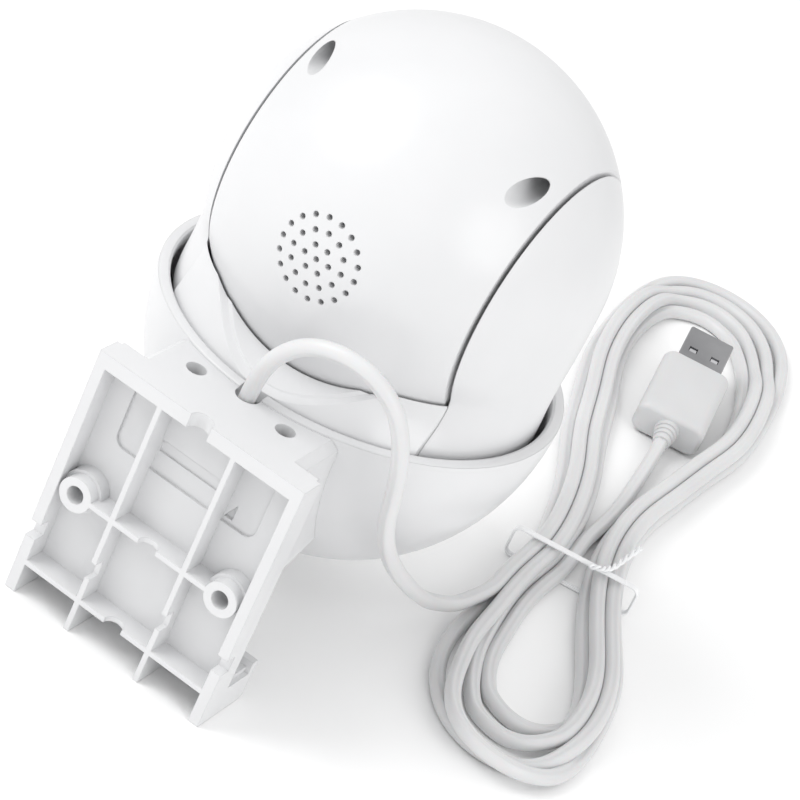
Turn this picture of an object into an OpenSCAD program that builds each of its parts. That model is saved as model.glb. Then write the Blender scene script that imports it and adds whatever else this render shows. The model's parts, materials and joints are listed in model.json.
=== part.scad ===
// Pan and tilt baby monitor camera on its wall bracket, with a tied USB lead.
// The origin is on the wall plane, midway between the two wall screw holes.
// +Z is up, the wall faces -Y, and the lens looks along -Y.

/* [Wall bracket] */
// Width over the two side rails
bracket_w = 49; // [47:0.5:52]
// Height of the ledge above the wall screws
bracket_up = 30.7; // [30:0.1:31]
// Length of the rails below the wall screws
bracket_down = 27.5; // [25:0.5:30]
// Thickness of a side rail
rail_t = 2.4; // [2:0.1:3]
// Depth of the open tray behind the panel
tray_depth = 5.2; // [4.5:0.1:6]
// Thickness of the panel
panel_t = 1.5; // [1.2:0.1:2]
// Distance between the two wall screw holes
wall_hole_spacing = 35.8; // [35:0.1:36.2]
// Diameter of the wall screw holes
wall_hole_d = 3.8; // [3.2:0.1:4.4]
// Distance between the two vertical holes in the ledge
ledge_hole_spacing = 21.6; // [20:0.1:23]
// Diameter of the vertical holes in the ledge
ledge_hole_d = 4.2; // [3:0.1:5]

/* [Base] */
// Distance from the wall to the pan axis
pan_reach = 61; // [60:0.5:64]
// Outer radius of the cup at its rim
cup_r = 44; // [43.8:0.1:44.6]
// Wall thickness of the cup
cup_wall = 2.2; // [2:0.1:2.6]
// Height of the cup's rim above the wall screws
rim_z = 31; // [31:0.1:31.5]

/* [Head] */
// Radius of the ball-shaped head
head_r = 41; // [40.6:0.1:41.2]
// Width of the head between its flat sides
head_w = 58; // [56:0.5:58]
// Height of the tilt axis above the cup's rim
head_h = 28; // [27.8:0.1:28.5]
// Wall thickness of the head and the arms
shell_t = 2.2; // [1.8:0.1:2.4]
// Diameter of one hole of the speaker grille
grille_d = 1.2; // [0.8:0.1:1.6]
// Diameter of the two deep screw wells
well_d = 4.8; // [4.4:0.1:5.2]

/* [Gears] */
// Module of all gear teeth
gear_m = 0.75; // [0.75:0.05:0.75]
// Teeth on the pan gear under the turntable
pan_gear_n = 42; // [42:1:42]
// Teeth on the pan motor's pinion
pan_pinion_n = 14; // [14:1:14]
// Teeth on the fixed gear of the tilt drive
tilt_gear_n = 32; // [32:1:32]
// Teeth on the tilt motor's pinion
tilt_pinion_n = 12; // [12:1:12]

/* [Lead] */
// Diameter of the lead
lead_d = 3.5; // [3:0.1:3.5]
// Length of the plug's overmould
plug_len = 27; // [20:0.5:30]

/* [Hidden] */
$fn = 96;

white = "whitesmoke";
pale = "gainsboro";
steel = "silver";
dark = "#222226";
pcb_green = "#1f6b3a";
brass = "#c9a64a";
eps = 0.01;

// Bracket layout, in the wall's frame
rail_x = bracket_w / 2;
rib_t = 1.2;
rib_x = 8.8;
ledge_t = 3.2;
ledge_half = 17.6;
neck_half = 19.4;
neck_wall = 1.8;
low_rib_z = -20;
foot_reach = 16;
foot_up = 2.2;
box_depth = tray_depth + panel_t;
boss_r = 3.75;
cable_r = 2.1;
side_notch_z = -12.5;
side_notch_h = 3.7;

// Cup profile, in the rim's frame: a half ellipse cut flat at the bottom
cup_semi = 47.6;
cup_flat_z = -44;
cup_floor_t = 2;
cup_cut_angle = asin(-cup_flat_z / cup_semi);
cord_y = 44.6;
cord_bore_r = 2.6;
cord_bore_z = -9;
post_r = 30;
post_angles = [60, 180, 300];
floor_post_r = 13.2;
floor_post_angles = [30, 150, 270];

// Decks and boards inside the cup
deck_z = -24;
deck_t = 1.6;
board_z = -38.6;
board_t = 1.4;
cover_t = 1.4;
pan_axle_r = 6;
pan_fit = 0.05;
pan_gear_z = -20.4;
gear_t = 3;
pan_centre = gear_m * (pan_gear_n + pan_pinion_n) / 2;
motor_r = 7.5;
motor_l = 9;
shaft_r = 1;

// Yoke
arm_plane = 29.8;
upright_x = 30;
upright_t = 1.4;
head_gap = 0.7;
dish_t = 1.6;
flange_z = -3;
flange_t = 2;
flange_r = 39;
collar_rim_r = 40.7;
arm_rim_r = 39.6;
arm_side_r = 40.3;
flare_z = 12;
trough_slope = 27;

// Head
half_w = head_w / 2;
split_y = -24;
face_y = -35;
window_r = 20.4;
pivot_r = 3;
bush_r = 4.5;
pivot_fit = 0.05;
well_x = 24.3;
well_z = 27;
well_floor = 4;
well_wall = 1.2;
grille_z = 2.5;
tilt_centre = gear_m * (tilt_gear_n + tilt_pinion_n) / 2;
tilt_gear_x = -24.6;

// Surface that the lead lies on: level with the lower end of the bracket
floor_z = -bracket_down;

// Route of the lead, from the ledge down to the tied hank, in the wall's frame
lead_route = [[0, -16.4, 27], [0, -16.4, 31], [-0.5, -15.5, 33.5], [-1, -15, 37], [-2.5, -14, 42],
    [-5.5, -13.5, 46.5], [-8.5, -13, 49.5], [-13, -13, 51.5], [-17.5, -13.5, 52], [-22, -14, 51.2],
    [-25.5, -15, 49.2], [-29, -16, 46], [-31.5, -17, 41], [-33, -18, 35.5], [-33.5, -20, 29.5],
    [-33.4, -22.5, 23.2], [-33.4, -26, 17.5], [-33.8, -30.5, 11.3], [-34.7, -37, 4.5], [-36, -46, -3],
    [-36.8, -57, -10.8], [-36.8, -66, -16], [-37.2, -73, -19.4], [-38.2, -78.5, -21.3], [-39.4, -84.5, -22]];
// Route of the free end, from the hank to the plug
plug_route = [[-43.8, -127, -25.6], [-42.4, -138, -25.4], [-42.1, -146, -25.5], [-41, -158, -25.6],
    [-39, -170, -25.4], [-37, -181, -24.9], [-35.4, -189, -24.3], [-34.1, -194.6, -23.5]];

// Outline of the tied hank: outer edge, then the edge of its opening
hank_h = 7.2;
hank_outer = [[-30, -140], [-23, -157], [-16, -175], [-8, -194], [-1, -215], [4, -238], [7, -261],
    [3, -281], [-16, -291], [-33, -280], [-44, -260], [-50, -236], [-51, -213], [-51, -192], [-50, -174],
    [-51, -155], [-55, -138], [-61, -123], [-69, -109], [-76, -95], [-80, -80], [-82, -64], [-80, -48],
    [-67, -39], [-53, -45], [-44, -58], [-39, -73], [-37, -90], [-37, -106], [-34, -123]];
hank_inner = [[-40.5, -142], [-34, -161], [-27, -180], [-19, -199], [-12, -219], [-7, -240], [-6, -256],
    [-10, -266], [-18, -266], [-27, -258], [-34, -245], [-39, -230], [-42, -212], [-43, -193], [-43, -174],
    [-44, -155], [-47, -136], [-51, -118], [-58, -104], [-65, -91], [-70, -79], [-71, -68], [-66, -61],
    [-60, -66], [-52.5, -78], [-49, -91], [-47.5, -107], [-46, -120], [-43, -131]];

// Plug: the rear end of its overmould, the way it points and its tilt
plug_at = [-33.2, -198.5, -22.9];
plug_turn = 14;
plug_tilt = 8;
plug_w = 18;
plug_h = 8.8;
shell_w = 12;
shell_h = 4.5;
shell_len = 16;
relief_len = 6;

// --- Shared shapes and functions ---

module at_rim() {
    translate([0, -pan_reach, rim_z]) children();
}

module at_head() {
    translate([0, -pan_reach, rim_z + head_h]) children();
}

module at_plug() {
    translate(plug_at) rotate([0, 0, plug_turn]) rotate([-plug_tilt, 0, 0]) children();
}

module box(x0, x1, y0, y1, z0, z1) {
    translate([x0, y0, z0]) cube([x1 - x0, y1 - y0, z1 - z0]);
}

module rod_x(r, x0, x1) {
    translate([x0, 0, 0]) rotate([0, 90, 0]) cylinder(r = r, h = x1 - x0);
}

module rod_y(r, y0, y1) {
    translate([0, y0, 0]) rotate([-90, 0, 0]) cylinder(r = r, h = y1 - y0);
}

module rod_z(r, z0, z1) {
    translate([0, 0, z0]) cylinder(r = r, h = z1 - z0);
}

module ring_z(r_out, r_in, z0, z1) {
    difference() {
        rod_z(r_out, z0, z1);
        rod_z(r_in, z0 - 1, z1 + 1);
    }
}

module both_sides() {
    children();
    mirror([1, 0, 0]) children();
}

// A screw pointing up: its head hangs below z = 0 and its shank rises above it
module screw_up(shank_r, shank_l, top_r, top_h) {
    difference() {
        union() {
            rod_z(shank_r, -eps, shank_l);
            rod_z(top_r, -top_h, 0);
        }
        for (a = [0, 90]) rotate([0, 0, a]) box(-top_r * 0.6, top_r * 0.6, -0.25, 0.25, -top_h - 1, -top_h + 0.5);
    }
}

function involute(angle) = tan(angle) * 180 / PI - angle;

// Half of a tooth's angle at radius r
function tooth_half(n, r, play) = let(pitch = gear_m * n / 2, base = pitch * cos(20))
    90 / n - play * 90 / (PI * pitch) + involute(20) - involute(acos(min(1, base / max(base, r))));

function gear_outline(n, add, play) = let(
        pitch = gear_m * n / 2,
        radii = [pitch - 1.25 * gear_m, max(pitch * cos(20), pitch - gear_m), pitch, pitch + add * gear_m])
    [for (i = [0:n - 1]) each concat(
        [for (k = [0:3]) let(a = 360 * i / n - tooth_half(n, radii[k], play))
            [radii[k] * cos(a), radii[k] * sin(a)]],
        [for (k = [3:-1:0]) let(a = 360 * i / n + tooth_half(n, radii[k], play))
            [radii[k] * cos(a), radii[k] * sin(a)]])];

module gear(n, bore_r, t, add, play) {
    difference() {
        linear_extrude(t) polygon(gear_outline(n, add, play));
        rod_z(bore_r, -1, t + 1);
    }
}

// Catmull-Rom curve through points: p is a list, closed joins its ends
function spline_at(a, b, c, d, t) = 0.5 * (2 * b + (c - a) * t + (2 * a - 5 * b + 4 * c - d) * t * t
    + (3 * b - a - 3 * c + d) * t * t * t);
function closed_spline(p, steps) = let(n = len(p))
    [for (i = [0:n - 1], k = [0:steps - 1])
        spline_at(p[(i + n - 1) % n], p[i], p[(i + 1) % n], p[(i + 2) % n], k / steps)];
function open_spline(p, steps) = let(n = len(p))
    concat([for (i = [0:n - 2], k = [0:steps - 1])
        spline_at(p[max(0, i - 1)], p[i], p[i + 1], p[min(n - 1, i + 2)], k / steps)], [p[n - 1]]);

function unit(v) = v / norm(v);
function heading(p, i) = unit(p[min(len(p) - 1, i + 1)] - p[max(0, i - 1)]);
// A direction square to t that keeps as near to side as it can
function square_to(t, side) = unit(side - (side * t) * t);
function frames(p, i, side) = let(s = square_to(heading(p, i), side))
    i == len(p) - 1 ? [s] : concat([s], frames(p, i + 1, s));

// A tube swept along the points p, made as one polyhedron
module swept_tube(p, r, sides) {
    side = frames(p, 0, [0.6, 0.8, 0.1]);
    n = len(p);
    points = [for (i = [0:n - 1]) let(t = heading(p, i), u = side[i], v = cross(t, u))
        for (k = [0:sides - 1]) p[i] + r * (u * cos(360 * k / sides) + v * sin(360 * k / sides))];
    walls = [for (i = [0:n - 2], k = [0:sides - 1]) let(a = i * sides + k, b = i * sides + (k + 1) % sides)
        each [[a, a + sides, b], [b, a + sides, b + sides]]];
    caps = [[for (k = [0:sides - 1]) k], [for (k = [sides - 1:-1:0]) (n - 1) * sides + k]];
    polyhedron(points, concat(walls, caps), convexity = 10);
}

// Stretches a profile along X: its points are (height, distance out from the wall)
module side_profile(w) {
    mirror([0, 1, 0]) rotate([0, -90, 0]) linear_extrude(w, center = true) children();
}

// --- Wall bracket ---

module cup_outer_solid() {
    rotate_extrude() polygon(concat([[0, 0], [cup_r, 0]],
        [for (k = [1:20]) let(a = cup_cut_angle * k / 20) [cup_r * cos(a), -cup_semi * sin(a)]],
        [[0, cup_flat_z]]));
}

// The round-ended notch and the bore that the lead comes up through
module cord_passage() {
    translate([0, cord_y, 0]) rod_z(cord_bore_r, cord_bore_z, 3);
    box(-cord_bore_r, cord_bore_r, 40, cord_y, -3, 3);
    translate([0, 0, cord_bore_z]) rod_y(cord_bore_r - 0.2, 36, cord_y);
}

module bracket_rails() {
    both_sides() intersection() {
        side_profile(bracket_w) polygon([
            [-bracket_down, 0], [bracket_up, 0], [bracket_up, box_depth - 1], [bracket_up - 1, box_depth],
            [low_rib_z - rib_t / 2, box_depth], [low_rib_z - rib_t / 2, foot_reach - 1.8],
            [low_rib_z + foot_up, foot_reach - 1.8], [low_rib_z + foot_up, foot_reach],
            [-bracket_down + 0.8, foot_reach], [-bracket_down, foot_reach - 0.8]]);
        union() {
            box(rail_x - rail_t, rail_x, -foot_reach, 0, -bracket_down, bracket_up);
            box(rib_x - rib_t / 2, rib_x + rib_t / 2, -foot_reach, 0, -bracket_down, bracket_up);
        }
    }
}

module bracket_panel() {
    difference() {
        box(-rail_x + 1, rail_x - 1, -box_depth, -tray_depth, low_rib_z, bracket_up - 1);
        // Shallow U-shaped recess with a cross slot, a slit and a latch hole
        box(-17, 17, -tray_depth - 0.6, -tray_depth + 1, 14, bracket_up - ledge_t);
        box(-14.5, 14.5, -tray_depth - 0.6, -tray_depth + 1, 11.5, 15);
        both_sides() translate([14.5, 0, 14]) rod_y(2.5, -tray_depth - 0.6, -tray_depth + 1);
        box(-8.2, 7.9, -tray_depth - 1, -tray_depth, 15.9, 18.4);
        box(10.9, 11.2, -box_depth - 1, -tray_depth, 15.8, bracket_up - ledge_t);
        translate([0, 1 - tray_depth, 0]) rotate([90, 0, 0]) linear_extrude(box_depth)
            polygon([[-9.5, 12.4], [-11.4, 12.4], [-11.4, 15.9]]);
    }
    box(-rail_x + 1, rail_x - 1, -box_depth, 0, bracket_up - ledge_t, bracket_up);
    box(-rail_x + 1, rail_x - 1, -foot_reach, 0, low_rib_z - rib_t / 2, low_rib_z + rib_t / 2);
    box(-rail_x + 1, rail_x - 1, -foot_reach, -foot_reach + 1.8, -bracket_down + 0.8, low_rib_z + foot_up);
    box(-wall_hole_spacing / 2, wall_hole_spacing / 2, -tray_depth - eps, 0, -rib_t / 2, rib_t / 2);
}

module bracket_neck() {
    difference() {
        intersection() {
            box(-neck_half, neck_half, 20, 54.5, -40, -0.3);
            side_profile(60) polygon([[-0.3, -30], [-0.3, -55], [-38, -55], [-24, -22]]);
            // Chamfered top edges
            rotate([90, 0, 0]) translate([0, 0, -60]) linear_extrude(60) polygon([[-neck_half, -40],
                [-neck_half, -2.1], [-ledge_half, -0.3], [ledge_half, -0.3], [neck_half, -2.1], [neck_half, -40]]);
        }
        // Hollow below the ledge, round the cable pillar
        difference() {
            intersection() {
                box(-neck_half + neck_wall, neck_half - neck_wall, 15, 54.5, -40, -0.3 - ledge_t);
                side_profile(60) polygon([[-0.3, -30], [-0.3, -54.4], [-35.8, -54.4], [-22, -20]]);
            }
            box(-5, 5, 38, 50, -14, 0);
            both_sides() translate([12, 0, -14]) rod_y(3, 30, 55);
        }
        cord_passage();
    }
}

module wall_bracket() {
    color(white) difference() {
        union() {
            bracket_rails();
            bracket_panel();
            both_sides() translate([wall_hole_spacing / 2, 0, 0]) {
                rod_y(boss_r, -tray_depth - eps, 0);
                rod_y(boss_r + 0.75, -tray_depth - eps, -2.4);
            }
            translate([0, -pan_reach, rim_z]) bracket_neck();
        }
        both_sides() translate([wall_hole_spacing / 2, 0, 0]) rod_y(wall_hole_d / 2, -box_depth - 1, 1);
        both_sides() translate([ledge_hole_spacing / 2, 47.2 - pan_reach, 0])
            rod_z(ledge_hole_d / 2, bracket_up - ledge_t - 1, bracket_up + 1);
        both_sides() translate([12, -pan_reach, rim_z - 14]) rod_y(1.32, 30, 50);
        // Half-round cable notches down the middle and square ones across
        translate([0, -0.2, 0]) {
            rod_z(cable_r + 0.3, bracket_up - ledge_t - 1, bracket_up + 1);
            rod_z(cable_r, -1, 1);
            rod_z(cable_r, low_rib_z - 1, low_rib_z + 1);
        }
        box(-rail_x - 1, rail_x + 1, -2.8, 1, side_notch_z - side_notch_h / 2, side_notch_z + side_notch_h / 2);
        at_rim() cup_outer_solid();
    }
}

module bracket_screws() {
    color(steel) both_sides() translate([12, -pan_reach, rim_z - 14]) {
        rod_y(1.3, 35.9, 48);
        rod_y(2.4, 34.3, 36);
    }
}

// --- Base ---

module cup_inner_solid() {
    inner_r = cup_r - cup_wall;
    inner_semi = cup_semi - cup_wall;
    cut = asin(-(cup_flat_z + cup_floor_t) / inner_semi);
    rotate_extrude() polygon(concat([[0, 2], [41.9, 2], [41.9, 0.3], [41.5, 0.1], [41.3, -0.4], [41.3, -2.5]],
        [for (k = [1:20]) let(a = cut * k / 20, s = asin(min(1, 3 / inner_semi)))
            [inner_r * cos(max(a, s)), -inner_semi * sin(max(a, s))]],
        [[0, cup_flat_z + cup_floor_t]]));
}

module base_cup() {
    color(white) at_rim() difference() {
        union() {
            difference() {
                union() {
                    cup_outer_solid();
                    rotate_extrude() polygon([[41, -1], [cup_r, -1], [cup_r, -0.2], [43.7, 0.15], [43.1, 0.35],
                        [41.9, 0.35], [41, 0.3]]);
                }
                cup_inner_solid();
            }
            intersection() {
                union() {
                    for (a = post_angles) rotate([0, 0, a]) translate([post_r, 0, 0]) rod_z(3, -42, deck_z);
                    for (a = floor_post_angles) rotate([0, 0, a]) translate([floor_post_r, 0, 0])
                        rod_z(1.9, cup_flat_z, board_z);
                    both_sides() translate([12, 0, -14]) rod_y(3.4, 36, 42);
                }
                cup_outer_solid();
            }
        }
        rod_z(11, cup_flat_z - 1, cup_flat_z + cup_floor_t + eps);
        for (a = post_angles) rotate([0, 0, a]) translate([post_r, 0, 0]) rod_z(1.22, deck_z - 7, deck_z + 1);
        for (a = floor_post_angles) rotate([0, 0, a]) translate([floor_post_r, 0, 0])
            rod_z(1.02, cup_flat_z - 1, board_z + 1);
        both_sides() translate([12, 0, -14]) rod_y(1.32, 30, 50);
        cord_passage();
    }
}

module bottom_cover() {
    color(white) at_rim() difference() {
        union() {
            rod_z(15.5, cup_flat_z - cover_t, cup_flat_z);
            rod_z(10.9, cup_flat_z - eps, cup_flat_z + 1);
        }
        rod_z(2.5, -50, -40);
        ring_z(11.4, 7.8, -50, cup_flat_z - cover_t + 0.5);
        for (a = floor_post_angles) rotate([0, 0, a]) translate([floor_post_r, 0, 0]) rod_z(1.1, -50, -40);
    }
}

module bottom_screws() {
    color(steel) at_rim() for (a = floor_post_angles) rotate([0, 0, a])
        translate([floor_post_r, 0, cup_flat_z - cover_t]) screw_up(1, 4.5, 1.7, 0.8);
}

module foot_pad() {
    color("#9a9a9c") at_rim() ring_z(11.3, 8, cup_flat_z - cover_t - 0.8, cup_flat_z - cover_t + 0.5);
}

module reset_button() {
    color(pale) at_rim() {
        rod_z(2.43, cup_flat_z - cover_t - 0.4, cup_flat_z + 2.8);
        rod_z(3.4, cup_flat_z + 1.05, cup_flat_z + 1.85);
    }
}

module motor_deck() {
    color(pale) at_rim() difference() {
        rod_z(34.6, deck_z, deck_z + deck_t);
        rod_z(8, deck_z - 1, deck_z + 3);
        translate([0, -pan_centre, 0]) rod_z(2.5, deck_z - 1, deck_z + 3);
        both_sides() translate([10, -pan_centre, 0]) rod_z(0.9, deck_z - 1, deck_z + 3);
        for (a = post_angles) rotate([0, 0, a]) translate([post_r, 0, 0]) rod_z(1.25, deck_z - 1, deck_z + 3);
        box(-4, 4, 28, 40, deck_z - 1, deck_z + 3);
    }
}

module deck_screws() {
    color(steel) at_rim() for (a = post_angles) rotate([0, 0, a])
        translate([post_r, 0, deck_z + deck_t]) mirror([0, 0, 1]) screw_up(1.2, 6, 2.3, 1.1);
}

// A can motor with its shaft end at z = 0, its mounting ears below and its screw holes 10 off centre
module can_motor() {
    difference() {
        union() {
            rod_z(motor_r, -motor_l, 0);
            intersection() {
                box(-12.5, 12.5, -3, 3, -0.8, 0);
                rod_z(12.5, -2, 1);
            }
            box(-3.5, 3.5, motor_r - 2, motor_r + 1.6, -motor_l + 1.5, -2);
        }
        rod_z(shaft_r + 0.05, -4, 1);
        for (s = [-1, 1]) translate([10 * s, 0, 0]) rod_z(0.9, -2, 1);
    }
}

module pan_motor() {
    color(steel) at_rim() translate([0, -pan_centre, deck_z]) can_motor();
}

module pan_motor_screws() {
    color(steel) at_rim() both_sides() translate([10, -pan_centre, deck_z + deck_t])
        mirror([0, 0, 1]) screw_up(0.85, 3.6, 1.6, 0.9);
}

module pan_pinion() {
    color(brass) at_rim() translate([0, -pan_centre, 0]) {
        translate([0, 0, pan_gear_z]) rotate([0, 0, 90])
            gear(pan_pinion_n, shaft_r - 0.2, gear_t + 0.4, 0.9, 0.2);
        rod_z(shaft_r, deck_z - 3.5, pan_gear_z + gear_t + 0.8);
    }
}

module pan_bush() {
    color(brass) at_rim() difference() {
        union() {
            rod_z(8, deck_z - 1, deck_z + deck_t + 1);
            rod_z(9.5, deck_z + deck_t, deck_z + deck_t + 1);
        }
        rod_z(pan_axle_r + pan_fit, -30, -20);
    }
}

module main_board() {
    color(pcb_green) at_rim() difference() {
        rod_z(18, board_z, board_z + board_t);
        for (a = floor_post_angles) rotate([0, 0, a]) translate([floor_post_r, 0, 0])
            rod_z(1, board_z - 1, board_z + 3);
    }
}

module board_parts() {
    top = board_z + board_t;
    color(steel) at_rim() {
        box(-8, 6, -9, 5, top, top + 2.2);
        box(8.5, 14.5, -5, 1, top, top + 1);
        box(-14, -10, -4, 6, top, top + 1.4);
        translate([11, 6, 0]) rod_z(2, top, top + 4.5);
    }
}

module power_socket() {
    top = board_z + board_t;
    color(white) at_rim() difference() {
        box(-4, 4, 9, 15, top, top + 5);
        box(-2.2, 2.2, 12, 16, top + 1, top + 6);
    }
}

module reset_switch() {
    color(dark) at_rim() box(-2.6, 2.6, -2.6, 2.6, board_z - 1.8, board_z);
}

module cord_grommet() {
    color(white) at_rim() translate([0, cord_y, 0]) ring_z(cord_bore_r - 0.02, lead_d / 2 + 0.02, -8, -4);
}

module inner_lead() {
    color(white) swept_tube(open_spline([[0, -16.4, 27], [0, -16.6, 23.5], [0, -19, 21.8], [0, -22.5, 21.4],
        [0, -26, 19], [0, -28, 14], [0, -29, 7], [0, -31, 0], [0, -37, -3.5], [0, -43, -3.4]], 2), 1.4, 8);
}

// --- Yoke ---

// Radius of the yoke's outer skin at height z above the rim: a ball that flares to the rim
function yoke_r(z, rim) = z > flare_z ? sqrt(head_r * head_r - (z - head_h) * (z - head_h))
    : let(t = max(0, (flare_z - z) / flare_z), r0 = sqrt(head_r * head_r - (flare_z - head_h) * (flare_z - head_h)),
        m0 = -flare_z * (head_h - flare_z) / r0, m1 = 6.5)
        (2 * pow(t, 3) - 3 * t * t + 1) * r0 + (pow(t, 3) - 2 * t * t + t) * m0
        + (3 * t * t - 2 * pow(t, 3)) * rim + (pow(t, 3) - t * t) * m1;

module yoke_skin(rim, inset, top_z, bottom_z) {
    n = 30;
    low = max(bottom_z, 0);
    rotate_extrude() polygon(concat([[0, bottom_z], [yoke_r(0, rim) - inset, bottom_z]],
        [for (k = [0:n]) let(z = low + (top_z - low) * k / n) [max(0, yoke_r(z, rim) - inset), z]],
        [[0, top_z]]));
}

module turntable() {
    inner = head_r + head_gap;
    outer = inner + dish_t;
    in_r = sqrt(inner * inner - (flange_z - head_h) * (flange_z - head_h));
    out_r = sqrt(outer * outer - (flange_z - flange_t - head_h) * (flange_z - flange_t - head_h));
    color(white) at_rim() difference() {
        union() {
            rotate_extrude() polygon(concat(
                [for (k = [0:16]) let(a = asin(in_r / inner) * k / 16) [inner * sin(a), head_h - inner * cos(a)]],
                [[flange_r, flange_z], [flange_r, flange_z - flange_t]],
                [for (k = [16:-1:0]) let(a = asin(out_r / outer) * k / 16)
                    [outer * sin(a), head_h - outer * cos(a)]]));
            difference() {
                rod_z(9, pan_gear_z + gear_t, head_h - outer + 1);
                translate([0, 0, head_h]) sphere(inner);
            }
            rod_z(pan_axle_r, -27, head_h - outer + 0.5);
            both_sides() {
                translate([0, 0, head_h]) rod_x(23.2, upright_x, upright_x + upright_t);
                box(upright_x, upright_x + upright_t, -14, 14, flange_z - 0.5, head_h);
            }
            translate([0, 0, head_h]) {
                rod_x(pivot_r, 25.4, upright_x + 0.5);
                rod_x(pivot_r, -upright_x - 0.5, tilt_gear_x + gear_t + 0.1);
            }
        }
        rod_z(3.6, -30, 0);
        translate([0, 0, head_h]) rod_x(1.22, -31, 31);
        both_sides() for (s = [-1, 1]) translate([0, 13 * s, head_h + 11]) {
            rod_x(1.1, 29, 33);
            rod_x(2.1, 29, upright_x + 0.8);
        }
    }
}

module hub_retainer() {
    color(steel) at_rim() ring_z(9, pan_axle_r, deck_z - 2.1, deck_z - 1.15);
}

module pan_gear() {
    color(pale) at_rim() {
        translate([0, 0, pan_gear_z]) gear(pan_gear_n, pan_axle_r, gear_t, 0.8, 0.2);
        ring_z(9, pan_axle_r, pan_gear_z - 0.9, pan_gear_z + eps);
    }
}

// Trough that the ball sits in: a drum lying along Y and dipping towards the wall
module trough(offset, radius) {
    for (s = [0, 1]) mirror([0, s, 0]) translate([0, 39, offset]) rotate([-trough_slope, 0, 0])
        translate([0, 0, radius]) rod_y(radius, -80, 60);
}

module collar() {
    inner = head_r + head_gap - 0.2;
    color(white) at_rim() difference() {
        union() {
            difference() {
                yoke_skin(collar_rim_r, 0, 22, flange_z);
                trough(0.7, 60);
            }
            difference() {
                yoke_skin(collar_rim_r, 1.3, 22, flange_z);
                trough(0.9, 45);
            }
        }
        translate([0, 0, head_h]) sphere(inner);
        box(-60, 60, -60, 60, 21, 60);
        both_sides() box(arm_plane - 0.05, 60, -60, 60, -20, 60);
        rod_z(27.9, -20, 10);
    }
}

// Level sections of an arm are ellipses: its side stays upright while its edges lean in with the collar
function arm_half_x(z) = z > head_h ? yoke_r(z, arm_rim_r)
    : head_r - (head_r - arm_side_r) * pow((head_h - z) / head_h, 2);
function arm_half_y(z) = z > head_h ? yoke_r(z, arm_rim_r)
    : let(r = yoke_r(z, arm_rim_r)) sqrt((r * r - arm_plane * arm_plane) / (1 - pow(arm_plane / arm_half_x(z), 2)));

module arm_skin(inset, low_z) {
    n = 25;
    levels = 30;
    points = [for (i = [0:levels]) let(z = low_z + (57 - low_z) * i / levels,
            a = arm_half_x(max(z, 0)) - inset, b = arm_half_y(max(z, 0)) - inset)
        for (k = [0:n - 1]) let(t = -50 + 100 * k / (n - 1)) [a * cos(t), b * sin(t), z]];
    walls = [for (i = [0:levels - 1], k = [0:n - 1]) let(a = i * n + k, b = i * n + (k + 1) % n)
        each [[a, a + n, b], [b, a + n, b + n]]];
    caps = [[for (k = [0:n - 1]) k], [for (k = [n - 1:-1:0]) levels * n + k]];
    polyhedron(points, concat(walls, caps), convexity = 6);
}

module arm_cover() {
    color(white) at_rim() difference() {
        arm_skin(0, flange_z);
        difference() {
            arm_skin(1.8, flange_z - 1);
            for (s = [-1, 1]) translate([0, 13 * s, head_h + 11]) rod_x(2.6, upright_x + upright_t, 45);
        }
        box(-60, arm_plane, -60, 60, -60, 120);
        for (s = [-1, 1]) translate([0, 13 * s, head_h + 11]) rod_x(1.05, 25, 36);
    }
}

module arm_cover_left() {
    arm_cover();
}

module arm_cover_right() {
    mirror([1, 0, 0]) arm_cover();
}

module arm_screws() {
    color(steel) at_head() both_sides() for (s = [-1, 1]) translate([0, 13 * s, 11]) {
        rod_x(1, upright_x + 0.7, 35.5);
        rod_x(2, upright_x + 0.05, upright_x + 0.8);
    }
}

module tilt_gear() {
    color(pale) at_head() translate([tilt_gear_x, 0, 0]) rotate([0, 90, 0])
        gear(tilt_gear_n, pivot_r, gear_t, 0.8, 0.2);
}

module pivot_screws() {
    color(steel) at_head() {
        translate([tilt_gear_x + gear_t + 0.1, 0, 0]) rotate([0, -90, 0]) screw_up(1.2, 7, 4, 0.8);
        translate([25.4, 0, 0]) rotate([0, 90, 0]) screw_up(1.2, 4.5, 4, 0.8);
    }
}

// --- Head ---

module head_ball(r, half) {
    intersection() {
        sphere(r, $fn = 128);
        box(-half, half, -60, 60, -60, 60);
    }
}

module head_hull() {
    difference() {
        head_ball(head_r, half_w);
        head_ball(head_r - shell_t, half_w - shell_t);
    }
}

module grille_holes() {
    translate([0, 0, grille_z]) {
        rod_y(grille_d / 2, 30, 45);
        for (ring = [1:3]) for (k = [0:6 * ring - 1]) rotate([0, 360 * k / (6 * ring), 0])
            translate([2.78 * ring, 0, 0]) rod_y(grille_d / 2, 30, 45);
    }
}

module head_shell() {
    color(white) at_head() difference() {
        union() {
            head_hull();
            intersection() {
                head_ball(head_r - 0.5, half_w - 0.5);
                union() {
                    both_sides() translate([well_x, 0, well_z]) rod_y(well_d / 2 + well_wall, 2, 30);
                    for (s = [-1, 1]) translate([0, 10 * s, tilt_centre]) rod_x(2.3, -28, tilt_gear_x + 3.6);
                }
            }
        }
        box(-60, 60, -60, split_y, -60, 60);
        both_sides() {
            rod_x(bush_r, 20, 40);
            translate([well_x, 0, well_z]) {
                rod_y(well_d / 2, well_floor, 40);
                rod_y(1.3, 0, 10);
            }
        }
        grille_holes();
        for (s = [-1, 1]) translate([0, 10 * s, tilt_centre]) rod_x(0.87, -26, -18);
    }
}

module tilt_bushes() {
    color(brass) at_head() both_sides() difference() {
        union() {
            rod_x(bush_r, 26, half_w);
            rod_x(bush_r + 1.2, half_w - shell_t - 0.8, half_w - shell_t);
        }
        rod_x(pivot_r + pivot_fit, 20, 40);
    }
}

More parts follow.
